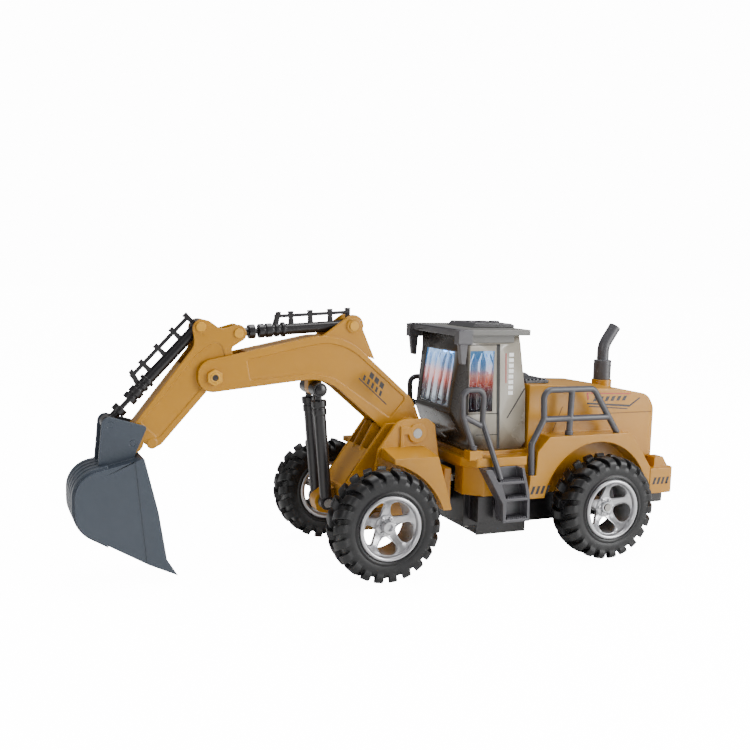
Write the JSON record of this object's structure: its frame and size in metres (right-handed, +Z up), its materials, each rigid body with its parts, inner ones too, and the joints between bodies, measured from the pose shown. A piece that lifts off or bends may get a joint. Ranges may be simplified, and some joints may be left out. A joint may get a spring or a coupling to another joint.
{
  "type": "toy excavator",
  "caption": "Toy wheeled loader chassis with an excavator arm: articulated steering, lifting boom, stick and curling bucket on rams.",
  "frame": {"origin": "on the ground under the middle of the toy's box", "axes": "+X towards the bucket end, +Y towards the toy's left side, +Z up"},
  "size_m": [0.3494, 0.1126, 0.141],
  "materials": {
    "yellow_abs": "satin moulded",
    "yellow_nylon": "satin moulded",
    "black_abs": "matt moulded",
    "cab_grey_abs": "satin moulded",
    "dark_grey_abs": "satin moulded",
    "clear_styrene": "clear polished",
    "red_lens": "clear tinted",
    "slate_abs": "satin moulded",
    "tyre_rubber": "matt",
    "silver_coated": "vacuum coated silver",
    "steel_pin": "bright",
    "natural_acetal": "moulded",
    "cell_sleeve": "shrink sleeve",
    "green_board": "solder mask"
  },
  "bodies": {
    "rear_body": {"body_shell": "yellow_abs", "chassis_pan": "black_abs", "rear_bumper": "yellow_abs", "tail_lamp_lenses": "red_lens", "hood_vent": "dark_grey_abs", "exhaust_stack": "dark_grey_abs", "cab_frame": "cab_grey_abs", "cab_windows": "clear_styrene", "cab_roof": "cab_grey_abs", "roof_unit": "dark_grey_abs", "cab_seats": "dark_grey_abs", "cab_dashboard": "dark_grey_abs", "cab_lamps": "green_board", "ladders": "dark_grey_abs", "grab_rail_left": "dark_grey_abs", "grab_rail_right": "dark_grey_abs", "deck_rails": "dark_grey_abs", "battery_cover": "black_abs", "battery_cells": "cell_sleeve", "circuit_board": "green_board", "drive_motor": "steel_pin", "gearbox_case": "natural_acetal", "steering_motor": "black_abs", "chassis_screws": "steel_pin", "switch_case": "black_abs", "articulation_pin": "steel_pin"},
    "front_frame": {"front_frame": "yellow_abs", "front_side_left": "yellow_abs", "front_side_right": "yellow_abs", "front_axle_shaft": "steel_pin", "front_axle_caps": "natural_acetal", "frame_pins": "steel_pin", "steering_gear": "natural_acetal"},
    "boom": {"boom_half_left": "yellow_abs", "boom_half_right": "yellow_abs", "boom_pins": "yellow_nylon"},
    "stick": {"stick_half_left": "yellow_abs", "stick_half_right": "yellow_abs", "stick_pins": "yellow_nylon"},
    "bucket": {"bucket": "slate_abs", "bucket_pins": "slate_abs"},
    "lift_barrels": {"lift_barrels": "black_abs"},
    "lift_rods": {"lift_rods": "black_abs"},
    "stick_barrel": {"stick_ram_barrel": "black_abs"},
    "stick_rod": {"stick_ram_rod": "black_abs"},
    "bucket_barrel": {"bucket_ram_barrel": "black_abs"},
    "bucket_rod": {"bucket_ram_rod": "black_abs"},
    "front_wheel_left": {"front_tyre_left": "tyre_rubber", "front_rim_left": "silver_coated"},
    "front_wheel_right": {"front_tyre_right": "tyre_rubber", "front_rim_right": "silver_coated"},
    "rear_axle": {"rear_axle_shaft": "steel_pin", "axle_gear": "natural_acetal", "rear_rim_left": "silver_coated", "rear_rim_right": "silver_coated", "rear_tyre_left": "tyre_rubber", "rear_tyre_right": "tyre_rubber"},
    "motor_pinion": {"motor_pinion": "natural_acetal"},
    "steering_pinion": {"steering_pinion": "natural_acetal"},
    "switch_knob": {"switch_knob": "black_abs"}
  },
  "joints": [
    {"name": "steer", "type": "hinge", "parent": "rear_body", "child": "front_frame", "pos_m": [-0.0247, 0, 0.04], "axis": [0, 0, 1], "range_deg": [-12, 12]},
    {"name": "steering_pinion_spin", "type": "hinge", "parent": "rear_body", "child": "steering_pinion", "pos_m": [-0.0447, 0, 0.044], "axis": [0, 0, 1], "range_deg": [-49, 49]},
    {"name": "rear_axle_spin", "type": "hinge", "parent": "rear_body", "child": "rear_axle", "pos_m": [-0.1172, 0, 0.03], "axis": [0, 1, 0], "continuous": true},
    {"name": "motor_pinion_spin", "type": "hinge", "parent": "rear_body", "child": "motor_pinion", "pos_m": [-0.1108, 0, 0.04109], "axis": [0, 1, 0], "continuous": true},
    {"name": "front_wheel_left_spin", "type": "hinge", "parent": "front_frame", "child": "front_wheel_left", "pos_m": [0.0213, 0.0457, 0.03], "axis": [0, 1, 0], "continuous": true},
    {"name": "front_wheel_right_spin", "type": "hinge", "parent": "front_frame", "child": "front_wheel_right", "pos_m": [0.0213, -0.0457, 0.03], "axis": [0, 1, 0], "continuous": true},
    {"name": "boom_lift", "type": "hinge", "parent": "front_frame", "child": "boom", "pos_m": [-0.0084, 0, 0.073], "axis": [0, -1, 0], "range_deg": [0, 30]},
    {"name": "lift_barrel_swing", "type": "hinge", "parent": "front_frame", "child": "lift_barrels", "pos_m": [0.0395, 0, 0.0344], "axis": [0, -1, 0], "range_deg": [-0.5, 14.7]},
    {"name": "lift_rod_swing", "type": "hinge", "parent": "boom", "child": "lift_rods", "pos_m": [0.0456, 0, 0.0972], "axis": [0, -1, 0], "range_deg": [-16.3, 0.5]},
    {"name": "stick_crowd", "type": "hinge", "parent": "boom", "child": "stick", "pos_m": [0.1026, 0, 0.1047], "axis": [0, -1, 0], "range_deg": [-25, 0]},
    {"name": "stick_barrel_swing", "type": "hinge", "parent": "boom", "child": "stick_barrel", "pos_m": [0.0252, 0, 0.1314], "axis": [0, -1, 0], "range_deg": [-0.5, 4.08]},
    {"name": "stick_rod_swing", "type": "hinge", "parent": "stick", "child": "stick_rod", "pos_m": [0.0893, 0, 0.1274], "axis": [0, -1, 0], "range_deg": [-0.5, 29.08]},
    {"name": "bucket_curl", "type": "hinge", "parent": "stick", "child": "bucket", "pos_m": [0.1443, 0, 0.0722], "axis": [0, -1, 0], "range_deg": [-30, 10]},
    {"name": "bucket_barrel_swing", "type": "hinge", "parent": "stick", "child": "bucket_barrel", "pos_m": [0.1093, 0, 0.1307], "axis": [0, -1, 0], "range_deg": [-1.74, 0.91]},
    {"name": "bucket_rod_swing", "type": "hinge", "parent": "bucket", "child": "bucket_rod", "pos_m": [0.1554, 0, 0.0821], "axis": [0, -1, 0], "range_deg": [-10.09, 29.26]},
    {"name": "switch_slide", "type": "slide", "parent": "rear_body", "child": "switch_knob", "axis": [1, 0, 0], "range_m": [0, 0.003]}
  ],
  "couplings": [
    {"joint": "steering_pinion_spin", "follows": "steer", "ratio": -4},
    {"joint": "motor_pinion_spin", "follows": "rear_axle_spin", "ratio": -1.6667},
    {"joint": "lift_barrel_swing", "follows": "boom_lift", "ratio": 0.4734},
    {"joint": "lift_rod_swing", "follows": "boom_lift", "ratio": -0.5266},
    {"joint": "stick_barrel_swing", "follows": "stick_crowd", "ratio": -0.1431},
    {"joint": "stick_rod_swing", "follows": "stick_crowd", "ratio": -1.1431},
    {"joint": "bucket_barrel_swing", "follows": "bucket_curl", "ratio": 0.0413},
    {"joint": "bucket_rod_swing", "follows": "bucket_curl", "ratio": -0.9587}
  ]
}
